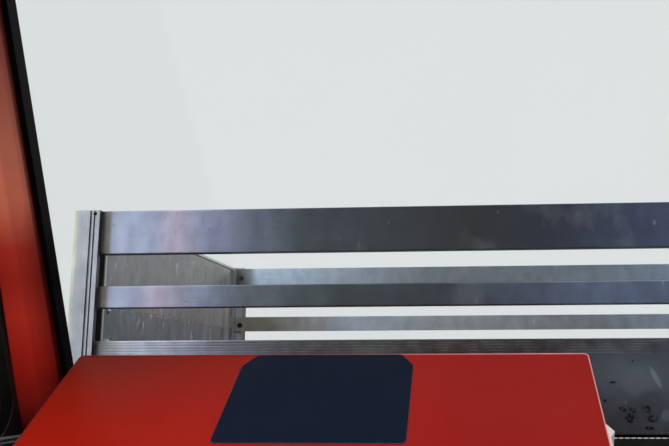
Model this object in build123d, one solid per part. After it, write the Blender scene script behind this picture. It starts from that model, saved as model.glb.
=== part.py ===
from build123d import *
import os
from math import cos, radians, sin, tan

# Driver's end of a funicular car: cab nose with raked windscreen and desk, and the goods
# platform in front of it. Millimetres, +X to the right, +Y uphill, +Z up. The origin lies on the
# floor, in the middle of the module's length and width.

# Overall sizes
body_width = 2400.0
overall_length = 2454.0
sill_height = 150.0
cab_floor_thickness = 20.0
wall_top_height = 2180.0
deck_height = 540.0

# Windscreen: its middle plane rises from the foot of the frame and leans back
windscreen_foot_height = 1057.3
windscreen_foot_from_rear = 1130.3
windscreen_rake = 26.35
sill_depth = 100.0
header_depth = 100.0
pillar_width = 139.0
pillar_crease = 38.0
pillar_crease_depth = 10.0
pillar_crease_round = 30.0
pillar_inner_round = 6.0
pillar_outer_round = 30.0
frame_outside = 12.0
frame_inside = 48.0
frame_wall = 4.0
glass_thickness = 8.0
seal_width = 10.0
seal_outside = 8.0
seal_step = 5.0
seal_inside = 30.0
seal_bite = 8.0
seal_corner = 30.0

# Cab panels
panel_thickness = 40.0
side_panel_thickness = 56.0
side_window_rear = 110.0
side_window_below_wall_top = 190.0
side_window_front_margin = 12.0
side_window_corner = 60.0
side_glass_thickness = 6.0
side_seal_width = 36.0
side_seal_inset = 2.0
front_corner_round = 30.0
roof_camber = 120.0
roof_thickness = 30.0
eaves_height = 35.0
rear_frame_depth = 40.0
rear_frame_width = 44.0
joint_bolt_radius = 6.5
joint_bolt_low = 320.0
joint_bolt_high = 1960.0
seat_bolt_radius = 9.0
seat_bolt_inset = 42.0
seat_bolt_from_middle = 900.0

# Driver's desk
desk_centre = -561.0
desk_width = 928.0
desk_slope = 33.7
desk_length = 500.0
desk_thickness = 30.0
desk_height = 1137.0
desk_glass_gap = 21.3
desk_far_corner = 8.0
desk_near_corner = 70.0
sign_width = 306.0
sign_length = 248.0
sign_thickness = 1.5
sign_offset = 2.0
sign_far_margin = 2.5
sign_cut_across = 22.0
sign_cut_along = 35.0
sign_far_round = 14.0
sign_near_round = 8.0
cabinet_inset = 22.0
cabinet_panel = 18.0
cabinet_near_from_edge = 385.0
cabinet_far_from_edge = 30.0
door_gap = 6.0
door_hinge_gap = 9.0
door_rail = 45.0
door_low = 260.0
door_high = 900.0
pivot_radius = 4.0
pivot_length = 14.0
pivot_inset = 6.0
handle_radius = 6.0
handle_stem_radius = 4.5
handle_height = 140.0
handle_stand = 32.0
handle_rise = 140.0
handle_overhang = 12.0
grip_thickness = 3.4
grip_tab = 11.5
grip_tab_length = 20.0
grip_tab_back = 14.0
grip_length = 130.0
grip_height = 26.0
grip_from_edge = 199.0
grip_round = 1.0

# Underframe
sill_flange = 70.0
sill_web = 8.0
cross_member_width = 90.0
cross_member_wall = 6.0

# Goods platform
board_wall_from_rear = 1284.0
post_width = 58.0
post_depth = 46.0
post_height = 1100.0
post_wall = 4.0
post_lip = 14.0
groove_depth = 4.0
slot_bite = 15.0
fit_gap = 0.3
board_thickness = 25.0
far_post_width = 88.0
far_post_depth = 54.0
far_bar_thickness = 8.0
far_post_wall = 4.0
far_post_groove = 6.0
far_post_groove_place = 61.5
far_bar_overlap = 21.0
deck_thickness = 30.0
skirt_thickness = 8.0
skirt_flange = 60.0
front_skirt_inset = 20.0
lamp_radius = 85.0
lamp_lens_radius = 70.0
lamp_rim = 6.0
lamp_depth = 60.0
lamp_wall = 4.0
lamp_lens_thickness = 5.0
lamp_from_side = 420.0
board_round = 3.0
low_board_drop = 295.0
plank_count = 3
plank_seam = 4.0
seam_depth = 1.5
rib_count = 5
rib_pitch = 6.0
rib_groove = 1.5
rib_depth = 0.6
deck_groove = 6.0
deck_groove_depth = 2.0
deck_groove_pitch = 60.0

# Side gates
gate_thickness = 30.0
gate_outer_inset = 25.0
gate_gap = 6.0
gate_low_gap = 12.0
gate_rim = 8.0
gate_recess = 4.0
gate_seam_drop = 215.0
gate_seam = 2.0
hinge_radius = 11.0
hinge_pin_radius = 6.0
hinge_eye_height = 24.0
hinge_seat_height = 20.0
hinge_tab_length = 70.0
hinge_tab_thickness = 8.0
hinge_from_end = 180.0
latch_width = 90.0
latch_height = 40.0
latch_thickness = 18.0
latch_drop = 260.0
latch_round = 8.0

# Places that follow from the sizes
half_width = body_width / 2
y_rear = -overall_length / 2
y_front = overall_length / 2
inner_half_width = half_width - side_panel_thickness
side_seal_thickness = side_panel_thickness - 2 * side_seal_inset
cab_floor_top = sill_height + cab_floor_thickness
rake = radians(windscreen_rake)
slope = radians(desk_slope)
y_foot = y_rear + windscreen_foot_from_rear
opening_half_width = half_width - pillar_width
glass_half_width = opening_half_width - seal_width
frame_rise = (wall_top_height - windscreen_foot_height) / cos(rake)
glass_low = sill_depth + seal_width
glass_high = frame_rise - header_depth - seal_width
y_board_wall = y_rear + board_wall_from_rear
y_board = y_board_wall + post_lip + fit_gap
y_far_post = y_front - far_post_depth
deck_underside = deck_height - deck_thickness
platform_top = deck_height + post_height

# The windscreen plane: local x runs across, local y up the rake, local z into the cab
glass_plane = Plane(origin=(0, y_foot, windscreen_foot_height), x_dir=(1, 0, 0),
                    z_dir=(0, -cos(rake), -sin(rake)))


def rake_point(up, outwards):
    """Y and Z of a point that lies up the rake and outwards from the windscreen's middle plane."""
    y = y_foot - up * sin(rake) + outwards * cos(rake)
    z = windscreen_foot_height + up * cos(rake) + outwards * sin(rake)
    return y, z


def rake_point_at_height(z, outwards):
    """Y and Z of the point at a height that lies outwards from the windscreen's middle plane."""
    up = (z - windscreen_foot_height - outwards * sin(rake)) / cos(rake)
    return rake_point(up, outwards)


def block(x_range, y_range, z_range):
    """A straight block between two corners."""
    size = [high - low for low, high in (x_range, y_range, z_range)]
    middle = [(low + high) / 2 for low, high in (x_range, y_range, z_range)]
    return Pos(*middle) * Box(*size)


def side_prism(points, x_low, x_high):
    """A profile drawn in Y and Z, extruded across the car."""
    return extrude(Plane.YZ.offset(x_low) * Polygon(*points, align=None), amount=x_high - x_low)


def raked_slab(sketch, outwards, inwards):
    """A sketch in the windscreen plane, thickened outwards and into the cab."""
    return extrude(glass_plane.offset(-outwards) * sketch, amount=outwards + inwards)


def below_roof(shape):
    """The part of a raked member that lies below the roof's seat."""
    return shape - block((-body_width, body_width), (-overall_length, overall_length),
                         (wall_top_height, 2 * wall_top_height))


def mirrored(shape):
    """The same piece on the right-hand side of the car."""
    return mirror(shape, about=Plane.YZ)


nodes = {}


def pair(name, shape):
    """A left piece and its mirror image, each in its own node."""
    nodes[name + "_left"] = shape
    nodes[name + "_right"] = mirrored(shape)


# Underframe: two channel sills and three cross members

def channel(length):
    """A channel with its open side towards +X, running along Y from zero."""
    profile = Rectangle(sill_flange, sill_height, align=(Align.MIN, Align.MIN))
    hollow = Rectangle(sill_flange, sill_height - 2 * sill_web, align=(Align.MIN, Align.MIN))
    profile -= Pos(sill_web, sill_web) * hollow
    return extrude(Plane.XZ * profile, amount=-length)


# The sills' lower flanges have one bolt hole near each end, for the chassis seats
side_sill = Pos(-half_width, y_rear, 0) * channel(overall_length)
for y in (-seat_bolt_from_middle, seat_bolt_from_middle):
    side_sill -= Pos(-half_width + seat_bolt_inset, y, sill_web / 2) * Cylinder(seat_bolt_radius,
                                                                                2 * sill_web)
pair("side_sill", side_sill)

y_bulkhead_outer = rake_point(0, frame_outside)[0]
y_bulkhead_inner = y_bulkhead_outer - panel_thickness
cross_members = (
    # name, its rear face
    ("rear_cross_member", y_rear),
    ("middle_cross_member", y_bulkhead_outer - cross_member_width),
    ("front_cross_member", y_front - cross_member_width),
)
for name, y_low in cross_members:
    half_length = half_width - sill_web - fit_gap
    height = sill_height - 2 * (sill_web + fit_gap)
    profile = Rectangle(cross_member_width, height)
    profile -= Rectangle(cross_member_width - 2 * cross_member_wall, height - 2 * cross_member_wall)
    tube = extrude(Plane.YZ * profile, amount=half_length, both=True)
    nodes[name] = Pos(0, y_low + cross_member_width / 2, sill_height / 2) * tube

# Cab floor and panels
nodes["cab_floor"] = block((-inner_half_width, inner_half_width), (y_rear, y_bulkhead_inner),
                           (sill_height, cab_floor_top))

bulkhead_profile = [
    (y_bulkhead_inner, sill_height),
    (y_bulkhead_outer, sill_height),
    rake_point(0, frame_outside),
    (y_bulkhead_inner, rake_point(0, frame_outside)[1] - panel_thickness * tan(rake)),
]
nodes["front_bulkhead"] = side_prism(bulkhead_profile, -inner_half_width, inner_half_width)

# Side wall: one panel from the rear joint to the raked pillar, with the window cut in it
wall_profile = [
    (y_rear, sill_height),
    (y_bulkhead_outer, sill_height),
    rake_point(0, frame_outside),
    rake_point(0, -frame_inside),
    rake_point_at_height(wall_top_height, -frame_inside),
    (y_rear, wall_top_height),
]

# The side window's lower edge is level with the windscreen's, and its front edge follows the pillar
side_window_low = rake_point(glass_low, 0)[1]
side_window_high = wall_top_height - side_window_below_wall_top
side_window_front = -frame_inside - side_window_front_margin
window_outline = Polygon(
    (y_rear + side_window_rear, side_window_low),
    rake_point_at_height(side_window_low, side_window_front),
    rake_point_at_height(side_window_high, side_window_front),
    (y_rear + side_window_rear, side_window_high),
    align=None,
)
window_outline = fillet(window_outline.vertices(), side_window_corner)


def window_slab(sketch, thickness):
    """A sketch in the side wall's plane, centred in the wall's thickness."""
    middle = -half_width + side_panel_thickness / 2
    return extrude(Plane.YZ.offset(middle - thickness / 2) * sketch, amount=thickness)


side_wall = side_prism(wall_profile, -half_width, -inner_half_width)
outer_edges = side_wall.edges().filter_by(Axis.Z).sort_by(Axis.Y)[-2:]
side_wall = fillet(outer_edges.sort_by(Axis.X)[:1], front_corner_round)
side_wall -= window_slab(window_outline, side_panel_thickness)
pair("side_wall", side_wall)

seal_outline = offset(window_outline, -fit_gap)
seal_daylight = offset(window_outline, -side_seal_width)
pane_outline = offset(window_outline, -side_seal_width + seal_bite)
side_seal = window_slab(seal_outline, side_seal_thickness)
side_seal -= window_slab(seal_daylight, side_seal_thickness)
side_seal -= window_slab(pane_outline, side_glass_thickness)
pair("side_window_seal", side_seal)
pair("side_window", window_slab(pane_outline, side_glass_thickness))

# Windscreen frame: hollow raked pillars, rounded outside and rolled towards the seal inside
pillar_depth = frame_outside + frame_inside
pillar_profile = Polygon(
    (0, 0),
    (pillar_width, 0),
    (pillar_width, pillar_depth - pillar_crease_depth),
    (pillar_width - pillar_crease, pillar_depth),
    (0, pillar_depth),
    align=None,
)
pillar_rounds = (
    # corner across, corner in depth, radius
    (0, 0, pillar_outer_round),
    (pillar_width, pillar_depth - pillar_crease_depth, pillar_inner_round),
    (pillar_width - pillar_crease, pillar_depth, pillar_crease_round),
)
for across, depth, radius in pillar_rounds:
    corner = pillar_profile.vertices().sort_by_distance((across, depth, 0))[0]
    pillar_profile = fillet(corner, radius)
pillar_hollow = offset(pillar_profile, -frame_wall)
pillar_foot = Plane(
    origin=(-half_width, *rake_point(0, frame_outside)),
    x_dir=(1, 0, 0),
    z_dir=(0, sin(rake), -cos(rake)),
)
pillar_length = frame_rise + pillar_depth
pillar = extrude(pillar_foot * (pillar_profile - pillar_hollow), amount=-pillar_length)
pair("pillar", below_roof(pillar))

sill_sketch = Pos(0, sill_depth / 2) * Rectangle(2 * opening_half_width, sill_depth)
nodes["windscreen_sill"] = raked_slab(sill_sketch, frame_outside, frame_inside)
header_low = glass_high + seal_width
header_sketch = Pos(0, (header_low + pillar_length) / 2) * Rectangle(2 * opening_half_width,
                                                                     pillar_length - header_low)
nodes["windscreen_header"] = below_roof(raked_slab(header_sketch, frame_outside, frame_inside))

# Windscreen and its seal, which holds the glass in a groove; its outer lip is narrower than the inner
screen_middle = (glass_low + glass_high) / 2
screen_height = glass_high - glass_low


def screen_sketch(margin, corner):
    """The windscreen's visible outline, grown by a margin."""
    sketch = RectangleRounded(2 * (glass_half_width + margin), screen_height + 2 * margin, corner)
    return Pos(0, screen_middle) * sketch


half_glass = glass_thickness / 2
screen_seal = raked_slab(screen_sketch(seal_width - fit_gap, fit_gap), seal_outside, seal_inside)
screen_seal -= raked_slab(screen_sketch(0, seal_corner), 0, seal_inside)
screen_seal -= raked_slab(screen_sketch(seal_step, seal_corner + seal_step), seal_outside, 0)
screen_seal -= raked_slab(screen_sketch(seal_bite, seal_corner + seal_bite), half_glass, half_glass)
nodes["windscreen_seal"] = screen_seal
nodes["windscreen_glass"] = raked_slab(screen_sketch(seal_bite, seal_corner + seal_bite),
                                       half_glass, half_glass)

# Roof: an arched shell on the wall tops, closed in front above the header
y_roof_front = rake_point_at_height(wall_top_height, frame_outside)[0]
crown = wall_top_height + roof_camber
inner_arc = ThreePointArc((-inner_half_width, wall_top_height), (0, crown),
                          (inner_half_width, wall_top_height))
outer_arc = ThreePointArc((half_width, wall_top_height + eaves_height), (0, crown + roof_thickness),
                          (-half_width, wall_top_height + eaves_height))
roof_outline = Curve() + [
    Line((-half_width, wall_top_height), (-inner_half_width, wall_top_height)),
    inner_arc,
    Line((inner_half_width, wall_top_height), (half_width, wall_top_height)),
    Line((half_width, wall_top_height), (half_width, wall_top_height + eaves_height)),
    outer_arc,
    Line((-half_width, wall_top_height + eaves_height), (-half_width, wall_top_height)),
]


def lengthwise(face, y_low, y_high):
    """A face drawn in X and Z, extruded along the car."""
    return extrude(Plane.XZ.offset(-y_high) * face, amount=y_high - y_low)


nodes["roof_panel"] = lengthwise(make_face(roof_outline), y_rear, y_roof_front)
roof_front_outline = Curve() + [
    inner_arc,
    Line((inner_half_width, wall_top_height), (-inner_half_width, wall_top_height)),
]
roof_front_face = make_face(roof_front_outline)
nodes["roof_front"] = lengthwise(roof_front_face, y_roof_front - panel_thickness, y_roof_front)

# Rear frame: the arch that bolts to the rest of the car
arch_low = cab_floor_top
arch_rectangle = Pos(0, (arch_low + wall_top_height) / 2) * Rectangle(2 * inner_half_width,
                                                                      wall_top_height - arch_low)
arch_outer = arch_rectangle + roof_front_face
arch_inner_rectangle = Pos(0, (arch_low + wall_top_height) / 2) * Rectangle(
    2 * (inner_half_width - rear_frame_width), wall_top_height - arch_low)
rear_frame = lengthwise(arch_outer - arch_inner_rectangle, y_rear, y_rear + rear_frame_depth)
joint_bolt_x = inner_half_width - rear_frame_width / 2
for x in (-joint_bolt_x, joint_bolt_x):
    for z in (joint_bolt_low, joint_bolt_high):
        hole = Pos(x, y_rear + rear_frame_depth / 2, z) * Rot(90, 0, 0) * Cylinder(
            joint_bolt_radius, 2 * rear_frame_depth)
        rear_frame -= hole
nodes["rear_frame"] = rear_frame

# Desk: sloping top with rounded near corners, on a hollow cabinet with a door
desk_far_height = cab_floor_top + desk_height
y_desk_far = rake_point_at_height(desk_far_height, 0)[0] - desk_glass_gap
desk_plane = Plane(origin=(desk_centre, y_desk_far, desk_far_height), x_dir=(1, 0, 0),
                   z_dir=(0, -sin(slope), cos(slope)))
desk_sketch = Pos(0, -desk_length / 2) * Rectangle(desk_width, desk_length)
far_vertices = desk_sketch.vertices().sort_by(Axis.Y)[2:]
desk_sketch = fillet(far_vertices, desk_far_corner)
near_vertices = desk_sketch.vertices().sort_by(Axis.Y)[:2]
desk_sketch = fillet(near_vertices, desk_near_corner)
nodes["desk_top"] = extrude(desk_plane * desk_sketch, amount=-desk_thickness)

# Blank plate on the desk: its far corners are cut, and all corners rounded
sign_half = sign_width / 2
sign_outline = (
    (-sign_half, -sign_length),
    (sign_half, -sign_length),
    (sign_half, -sign_cut_along),
    (sign_half - sign_cut_across, 0),
    (sign_cut_across - sign_half, 0),
    (-sign_half, -sign_cut_along),
)
sign_sketch = Polygon(*sign_outline, align=None)
sign_corners = sign_sketch.vertices().sort_by(Axis.Y)
sign_sketch = fillet(sign_corners[2:], sign_far_round)
sign_sketch = fillet(sign_sketch.vertices().sort_by(Axis.Y)[:2], sign_near_round)
sign_sketch = Pos(sign_offset, -sign_far_margin) * sign_sketch
nodes["desk_sign"] = extrude(desk_plane * sign_sketch, amount=sign_thickness)


def desk_underside(y):
    """Height of the desk top's underside at a place along the car."""
    return desk_far_height - (y_desk_far - y) * tan(slope) - desk_thickness / cos(slope)


y_cabinet_near = y_desk_far - cabinet_near_from_edge
y_cabinet_far = y_desk_far - cabinet_far_from_edge
cabinet_half = desk_width / 2 - cabinet_inset
cabinet_left = desk_centre - cabinet_half
cabinet_right = desk_centre + cabinet_half


def cabinet_profile(inset):
    """The cabinet's side profile, or its hollow when inset by a panel."""
    y_low = y_cabinet_near + inset
    y_high = y_cabinet_far - inset
    lift = inset / cos(slope)
    return [
        (y_low, cab_floor_top + inset),
        (y_high, cab_floor_top + inset),
        (y_high, desk_underside(y_high) - lift),
        (y_low, desk_underside(y_low) - lift),
    ]


cabinet = side_prism(cabinet_profile(0), cabinet_left, cabinet_right)
cabinet -= side_prism(cabinet_profile(cabinet_panel), cabinet_left + cabinet_panel,
                      cabinet_right - cabinet_panel)
door_x = (cabinet_left + door_rail, cabinet_right - door_rail)
cabinet -= block(door_x, (y_cabinet_near - 1, y_cabinet_near + cabinet_panel), (door_low, door_high))

# Two cupboard leaves, each on pivot pins at its outer edge, with a handle at its free edge
leaf_z = (door_low + door_gap, door_high - door_gap)
leaf_middle = (leaf_z[0] + leaf_z[1]) / 2
leaf_height = leaf_z[1] - leaf_z[0]
leaf_width = (door_x[1] - door_x[0] - door_gap) / 2 - door_hinge_gap
pivot_y = y_cabinet_near + pivot_inset


def cupboard_leaf():
    """The left leaf, with its outer lower corner at zero in X."""
    leaf = block((0, leaf_width), (y_cabinet_near, y_cabinet_near + cabinet_panel), leaf_z)
    pins = Pos(pivot_inset, pivot_y, leaf_middle) * Cylinder(pivot_radius, leaf_height + 2 * pivot_length)
    return leaf + pins


def cupboard_handle(x):
    """A straight rod on two short stems that stands off a leaf."""
    y_out = y_cabinet_near - handle_stand
    middle = leaf_middle + handle_rise
    handle = Pos(x, y_out, middle) * Cylinder(handle_radius, handle_height)
    stem_span = handle_height / 2 - handle_radius - handle_overhang
    for z in (middle - stem_span, middle + stem_span):
        stem = Cylinder(handle_stem_radius, handle_stand, rotation=(90, 0, 0))
        handle += Pos(x, y_cabinet_near - handle_stand / 2, z) * stem
    return handle


leaf_place = Pos(door_x[0] + door_hinge_gap, 0, 0)
cabinet_mirror = Plane.YZ.offset(desk_centre)
pivot_bores = leaf_place * Pos(pivot_inset, pivot_y, leaf_middle) * Cylinder(
    pivot_radius + fit_gap, leaf_height + 2 * (pivot_length + fit_gap))
nodes["desk_cabinet"] = cabinet - pivot_bores - mirror(pivot_bores, about=cabinet_mirror)
nodes["desk_door_left"] = leaf_place * cupboard_leaf()
nodes["desk_door_right"] = mirror(nodes["desk_door_left"], about=cabinet_mirror)
handle_x = door_x[0] + door_hinge_gap + leaf_width - door_rail
nodes["desk_door_handle_left"] = cupboard_handle(handle_x)
nodes["desk_door_handle_right"] = cupboard_handle(2 * desk_centre - handle_x)

# Small grip along the desk's right edge, with a pointed tab at its far end
desk_half = desk_width / 2
grip_outline = (
    (desk_half, -grip_from_edge - grip_length),
    (desk_half + grip_thickness, -grip_from_edge - grip_length),
    (desk_half + grip_thickness, -grip_from_edge - grip_tab_length - grip_tab_back),
    (desk_half + grip_tab, -grip_from_edge - grip_tab_length),
    (desk_half, -grip_from_edge),
)
grip_sketch = Polygon(*grip_outline, align=None)
grip_tip = grip_sketch.vertices().sort_by(Axis.X)[-1]
grip_sketch = fillet(grip_tip, grip_round)
nodes["desk_grip"] = extrude(desk_plane * grip_sketch, amount=-grip_height)

# Goods platform: channel skirts at the sides, plates at the ends, and the deck
y_deck_rear = y_board_wall
y_skirt_front = y_front - front_skirt_inset
skirt_height = deck_underside - sill_height
skirt_profile = Rectangle(skirt_flange, skirt_height, align=(Align.MIN, Align.MIN))
skirt_hollow = Rectangle(skirt_flange, skirt_height - 2 * skirt_thickness,
                         align=(Align.MIN, Align.MIN))
skirt_profile -= Pos(skirt_thickness, skirt_thickness) * skirt_hollow
y_side_skirt = (y_deck_rear + skirt_thickness + fit_gap, y_skirt_front - skirt_thickness - fit_gap)
side_skirt = extrude(Plane.XZ * skirt_profile, amount=-(y_side_skirt[1] - y_side_skirt[0]))
pair("side_skirt", Pos(-half_width, y_side_skirt[0], sill_height) * side_skirt)
nodes["rear_skirt"] = block((-half_width, half_width), (y_deck_rear, y_deck_rear + skirt_thickness),
                            (sill_height, deck_underside))
front_skirt = block((-half_width, half_width), (y_skirt_front - skirt_thickness, y_skirt_front),
                    (sill_height, deck_underside))

# Lamps in the front skirt: a dished housing behind a rim, and a lens
lamp_height = sill_height + skirt_height / 2
lamp_places = {"left": lamp_from_side - half_width, "right": half_width - lamp_from_side}
dish_radius = lamp_radius - lamp_rim - lamp_wall
lamp_profile = Polygon(
    (0, -lamp_depth),
    (dish_radius, -lamp_depth),
    (dish_radius, 0),
    (lamp_radius, 0),
    (lamp_radius, lamp_rim),
    (lamp_lens_radius, lamp_rim),
    (lamp_lens_radius, lamp_wall - lamp_depth),
    (0, lamp_wall - lamp_depth),
    align=None,
)
lamp = revolve(Plane.XZ * lamp_profile, axis=Axis.Z)
lens = Pos(0, 0, lamp_rim - lamp_lens_thickness / 2 - 1) * Cylinder(lamp_lens_radius - fit_gap,
                                                                   lamp_lens_thickness)
for side, x in lamp_places.items():
    lamp_place = Pos(x, y_skirt_front, lamp_height) * Rot(-90, 0, 0)
    front_skirt -= lamp_place * Pos(0, 0, -skirt_thickness) * Cylinder(dish_radius + fit_gap,
                                                                      4 * skirt_thickness)
    nodes["lamp_" + side] = lamp_place * lamp
    nodes["lamp_lens_" + side] = lamp_place * lens
nodes["front_skirt"] = front_skirt

deck = block((-half_width, half_width), (y_deck_rear, y_front), (deck_underside, deck_height))
tread_rear = y_deck_rear + post_depth + deck_groove_pitch / 2
tread_front = y_far_post - far_bar_thickness
tread_half = half_width - far_post_width
groove_count = int(2 * tread_half // deck_groove_pitch)
groove_length = tread_front - tread_rear
grooves = GridLocations(deck_groove_pitch, 0, groove_count, 1)
groove_blocks = [
    Pos(0, (tread_rear + tread_front) / 2, deck_height - deck_groove_depth / 2) * place
    * Box(deck_groove, groove_length, deck_groove_depth)
    for place in grooves
]
nodes["platform_deck"] = deck - groove_blocks

# Corner posts: slotted extrusions that hold the ends of the boards
post_grooves = (
    # distance from the outer face, groove width
    (35.5, 5.5),
    (44.5, 3.5),
)
slot_width = board_thickness + 2 * fit_gap
post_profile = Rectangle(post_width, post_depth, align=(Align.MIN, Align.MIN))
core_width = post_width - slot_bite - 2 * post_wall
post_core = Pos(post_wall, post_wall + groove_depth) * Rectangle(
    core_width, post_depth - 2 * post_wall - groove_depth, align=(Align.MIN, Align.MIN))
post_profile -= post_core
post_profile -= Pos(post_width - slot_bite, post_lip) * Rectangle(
    slot_bite, slot_width, align=(Align.MIN, Align.MIN))
for place, width in post_grooves:
    post_profile -= Pos(place, 0) * Rectangle(width, groove_depth, align=(Align.MIN, Align.MIN))
corner_post = extrude(post_profile, amount=post_height)
post_cap = extrude(post_core, amount=post_wall)
corner_post += Pos(0, 0, post_height - post_wall) * post_cap
pair("corner_post", Pos(-half_width, y_board_wall, deck_height) * corner_post)

# Boards of the near wall, seated in the posts' slots
low_board_top = platform_top - low_board_drop
board_half = half_width - post_width + slot_bite - fit_gap
wall_boards = (
    # name, drop from the platform's top, height
    ("board_top", 0.0, 100.0),
    ("board_mid", 172.5, 50.0),
    ("board_low", low_board_drop, low_board_top - deck_height),
)
for name, drop, height in wall_boards:
    board_top_z = platform_top - drop
    board = block((-board_half, board_half), (y_board, y_board + board_thickness),
                  (board_top_z - height, board_top_z))
    board = fillet(board.edges().filter_by(Axis.X), board_round)
    nodes[name] = board

# Fine ribs along the top of the low board, on the side that faces the cab
for index in range(rib_count):
    z = low_board_top - rib_pitch * (index + 1)
    cut = block((-board_half - 1, board_half + 1), (y_board - 1, y_board + rib_depth),
                (z - rib_groove / 2, z + rib_groove / 2))
    nodes["board_low"] -= cut



def with_plank_seams(board, y_face):
    """A tall board made of planks, with a shallow seam between them on both faces."""
    plank_height = (low_board_top - deck_height) / plank_count
    for index in range(1, plank_count):
        z = deck_height + index * plank_height
        for y in (y_face, y_face + board_thickness):
            board -= block((-body_width, body_width), (y - seam_depth, y + seam_depth),
                           (z - plank_seam / 2, z + plank_seam / 2))
    return board


nodes["board_low"] = with_plank_seams(nodes["board_low"], y_board)

# Far posts, the two flat bars on them and the far low board
far_post_profile = Rectangle(far_post_width, far_post_depth, align=(Align.MIN, Align.MIN))
far_post_core = Pos(far_post_wall, far_post_wall + groove_depth) * Rectangle(
    far_post_width - 2 * far_post_wall, far_post_depth - 2 * far_post_wall - groove_depth,
    align=(Align.MIN, Align.MIN))
far_post_profile -= far_post_core
far_post_profile -= Pos(far_post_groove_place, 0) * Rectangle(far_post_groove, groove_depth,
                                                              align=(Align.MIN, Align.MIN))
far_post = extrude(far_post_profile, amount=post_height)
far_post += Pos(0, 0, post_height - far_post_wall) * extrude(far_post_core, amount=far_post_wall)
pair("far_post", Pos(-half_width, y_far_post, deck_height) * far_post)
bar_half = half_width - far_post_width + far_bar_overlap
far_bars = (
    # name, drop from the platform's top, height
    ("far_bar_upper", 5.0, 60.0),
    ("far_bar_lower", 176.0, 50.0),
)
for name, drop, height in far_bars:
    bar_top = platform_top - drop
    nodes[name] = block((-bar_half, bar_half), (y_far_post - far_bar_thickness, y_far_post),
                        (bar_top - height, bar_top))
far_board_half = half_width - far_post_width
far_board = block((-far_board_half, far_board_half), (y_far_post, y_far_post + board_thickness),
                  (deck_height, low_board_top))
nodes["far_board_low"] = with_plank_seams(far_board, y_far_post)

# Side gates: a rimmed leaf with a seam, hinged on the far post and latched at the corner post
leaf_outer = -half_width + gate_outer_inset
leaf_inner = leaf_outer + gate_thickness
leaf_y = (y_board_wall + post_depth + gate_gap, y_far_post - gate_gap)
leaf_z_range = (deck_height + gate_low_gap, platform_top)
gate = block((leaf_outer, leaf_inner), leaf_y, leaf_z_range)
gate -= block((leaf_inner - gate_recess, leaf_inner + 1),
              (leaf_y[0] + gate_rim, leaf_y[1] - gate_rim),
              (leaf_z_range[0] + gate_rim, leaf_z_range[1] - gate_rim))
seam_z = platform_top - gate_seam_drop
gate -= block((leaf_inner - gate_recess - gate_seam / 2, leaf_inner),
              (leaf_y[0] + gate_rim, leaf_y[1] - gate_rim),
              (seam_z - gate_seam / 2, seam_z + gate_seam / 2))
hinge_x = -half_width + hinge_radius
hinge_y = y_far_post - hinge_radius
hinge_heights = (deck_height + hinge_from_end, platform_top - hinge_from_end)
hinge_seats = None
for z in hinge_heights:
    eye_middle = z + hinge_seat_height / 2 + hinge_eye_height / 2 + fit_gap
    eye = Pos(hinge_x, hinge_y, eye_middle) * Cylinder(hinge_radius, hinge_eye_height)
    tab = block((leaf_outer - hinge_tab_thickness, leaf_outer),
                (hinge_y - hinge_tab_length, hinge_y),
                (eye_middle - hinge_eye_height / 2, eye_middle + hinge_eye_height / 2))
    bore = Pos(hinge_x, hinge_y, eye_middle) * Cylinder(hinge_pin_radius + fit_gap, hinge_eye_height)
    gate = gate + eye + tab - bore
    seat = Pos(hinge_x, hinge_y, z) * Cylinder(hinge_radius, hinge_seat_height)
    arm = block((hinge_x - hinge_radius, hinge_x + hinge_radius), (hinge_y, y_far_post),
                (z - hinge_seat_height / 2, z + hinge_seat_height / 2))
    pin = Pos(hinge_x, hinge_y, z + hinge_seat_height / 2 + hinge_eye_height / 2 + 2) * Cylinder(
        hinge_pin_radius, hinge_eye_height + 4)
    hinge = seat + arm + pin
    hinge_seats = hinge if hinge_seats is None else Compound([hinge_seats, hinge])
pair("side_gate", gate)
pair("gate_hinges", hinge_seats)

latch_y = (leaf_y[0] + gate_rim, leaf_y[0] + gate_rim + latch_width)
latch_z = platform_top - latch_drop
latch = block((leaf_outer - latch_thickness, leaf_outer), latch_y,
              (latch_z - latch_height / 2, latch_z + latch_height / 2))
pair("gate_latch", fillet(latch.edges().filter_by(Axis.X), latch_round))

os.makedirs("parts", exist_ok=True)
for name, shape in nodes.items():
    export_step(shape, "parts/" + name + ".step")
print(len(nodes), "nodes")
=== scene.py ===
import bmesh
import bpy
from math import cos, pi, radians, sin
from mathutils import Matrix, Vector


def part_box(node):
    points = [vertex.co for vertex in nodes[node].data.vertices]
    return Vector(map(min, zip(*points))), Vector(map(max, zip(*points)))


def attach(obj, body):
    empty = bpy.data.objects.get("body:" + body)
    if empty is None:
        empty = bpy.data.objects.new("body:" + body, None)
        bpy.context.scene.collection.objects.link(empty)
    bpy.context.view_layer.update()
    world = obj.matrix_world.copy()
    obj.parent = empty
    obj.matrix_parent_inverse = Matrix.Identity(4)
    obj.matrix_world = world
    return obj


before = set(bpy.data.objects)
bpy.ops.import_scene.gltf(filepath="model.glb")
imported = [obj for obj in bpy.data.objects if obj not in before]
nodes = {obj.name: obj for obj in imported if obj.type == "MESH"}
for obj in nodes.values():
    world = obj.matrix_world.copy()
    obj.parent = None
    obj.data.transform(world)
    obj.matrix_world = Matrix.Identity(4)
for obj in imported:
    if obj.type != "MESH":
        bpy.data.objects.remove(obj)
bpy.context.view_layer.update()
scene = bpy.context.scene

# Camera, solved from the photograph's straight edges: place in metres, angles in degrees, focal
# length and optical centre in pixels of the 669 by 446 frame
frame_width = 669
frame_height = 446
camera_place = Vector((-0.304, -1.777, 1.280))
camera_yaw = 4.06
camera_pitch = 10.13
camera_roll = -0.18
focal_pixels = 843.8
optical_centre = (410.1, 218.8)
sensor_width = 36.0

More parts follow.
